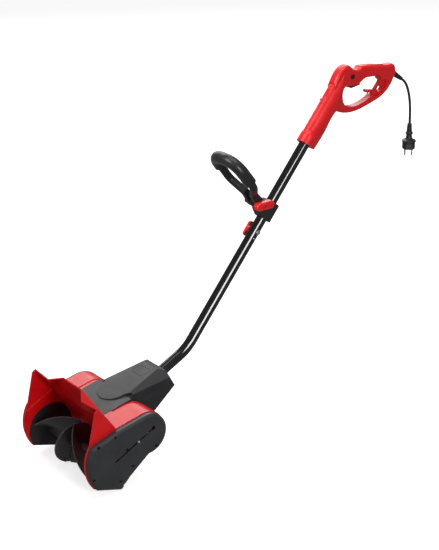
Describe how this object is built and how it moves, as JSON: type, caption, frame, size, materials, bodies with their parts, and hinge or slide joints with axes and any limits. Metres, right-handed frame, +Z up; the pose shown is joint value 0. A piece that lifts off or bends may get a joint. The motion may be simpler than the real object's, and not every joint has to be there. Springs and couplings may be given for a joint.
{
  "type": "electric snow thrower shovel",
  "caption": "Corded electric snow shovel: red auger head, bent black tube shaft, tilting loop handle, D-shaped rear handle and short mains cord with a round plug.",
  "frame": {"origin": "on the ground, in the middle of the machine's length and width, cord left out", "axes": "+Z up, -Y the way the mouth faces, +Y back along the shaft, +X the belt-drive side"},
  "size_m": [0.3096, 1.1887, 0.8896],
  "materials": {
    "red_plastic": "glossy moulded red plastic",
    "cover_plastic": "satin dark grey-black plastic",
    "housing_plastic": "fine-grained dark grey plastic",
    "disc_plastic": "matt black plastic",
    "clamp_plastic": "satin black plastic",
    "trigger_plastic": "satin black plastic",
    "inner_plastic": "plain dark plastic",
    "auger_rubber": "dark hard rubber, lightly glossy",
    "belt_rubber": "black ribbed rubber",
    "grip_rubber": "soft dark grey foam rubber",
    "cord_rubber": "smooth black rubber",
    "black_tube": "gloss black powder coat on steel tube",
    "black_steel": "black oxidised screw steel",
    "steel": "zinc-plated steel",
    "motor_iron": "stacked electrical steel",
    "copper": "bare copper",
    "nickel": "nickel-plated brass",
    "carbon": "pressed carbon"
  },
  "bodies": {
    "machine": {"auger_housing": "red_plastic", "belt_cover": "cover_plastic", "side_cover": "cover_plastic", "drive_belt": "belt_rubber", "auger_bearing_left": "steel", "auger_bearing_right": "steel", "end_disc_left": "disc_plastic", "end_disc_right": "disc_plastic", "scraper_blade": "disc_plastic", "motor_housing_top": "housing_plastic", "motor_housing_bottom": "housing_plastic", "stator_core": "motor_iron", "field_coils": "copper", "motor_frame_left": "inner_plastic", "motor_frame_right": "inner_plastic", "motor_bearing_left": "steel", "motor_bearing_right": "steel", "carbon_brushes": "carbon", "brush_holders": "copper", "lower_tube": "black_tube", "upper_tube": "black_tube", "tube_bolt": "steel", "snap_pin": "steel", "clamp_left": "clamp_plastic", "clamp_right": "clamp_plastic", "hinge_bolt": "steel", "hinge_cap": "clamp_plastic", "handle_left": "red_plastic", "handle_right": "red_plastic", "trigger_pin": "steel", "switch": "inner_plastic", "cord_boot": "cord_rubber", "mains_cord": "cord_rubber", "plug_body": "cord_rubber", "plug_pins": "nickel", "inner_cable": "cord_rubber", "cover_screws": "black_steel", "tension_screw": "steel", "handle_screws": "steel"},
    "auger": {"auger": "auger_rubber", "auger_shaft": "steel", "auger_pulley": "inner_plastic", "shaft_nut": "steel"},
    "rotor": {"motor_shaft": "steel", "armature": "motor_iron", "commutator": "copper", "motor_fan": "inner_plastic", "motor_pulley": "steel"},
    "loop": {"loop_handle": "clamp_plastic", "loop_grip": "grip_rubber"},
    "bar_knob": {"bar_knob": "red_plastic"},
    "wing_knob": {"wing_knob": "red_plastic"},
    "trigger": {"trigger": "trigger_plastic"},
    "lock_button": {"lock_button": "trigger_plastic"}
  },
  "joints": [
    {"name": "auger_spin", "type": "hinge", "parent": "machine", "child": "auger", "pos_m": [-0.00325, -0.46905, 0.0585], "axis": [1, 0, 0], "continuous": true},
    {"name": "motor_spin", "type": "hinge", "parent": "machine", "child": "rotor", "pos_m": [-0.00325, -0.37205, 0.1255], "axis": [1, 0, 0], "continuous": true},
    {"name": "loop_tilt", "type": "hinge", "parent": "machine", "child": "loop", "pos_m": [-0.00325, 0.08259, 0.57781], "axis": [1, 0, 0], "range_deg": [-35, 40]},
    {"name": "bar_knob_turn", "type": "hinge", "parent": "machine", "child": "bar_knob", "pos_m": [0.02675, 0.08259, 0.57781], "axis": [1, 0, 0], "continuous": true},
    {"name": "wing_knob_turn", "type": "hinge", "parent": "machine", "child": "wing_knob", "pos_m": [-0.02825, 0.07765, 0.50054], "axis": [1, 0, 0], "continuous": true},
    {"name": "trigger_pull", "type": "hinge", "parent": "machine", "child": "trigger", "pos_m": [-0.00325, 0.38095, 0.843], "axis": [1, 0, 0], "range_deg": [0, 9], "stiffness_Nm_per_rad": 0.2, "springref_deg": -14.32},
    {"name": "lock_button_press", "type": "slide", "parent": "machine", "child": "lock_button", "axis": [-1, 0, 0], "range_m": [0, 0.003], "stiffness_N_per_m": 150, "springref_m": -0.004}
  ],
  "couplings": [
    {"joint": "motor_spin", "follows": "auger_spin", "ratio": 3.3846}
  ]
}
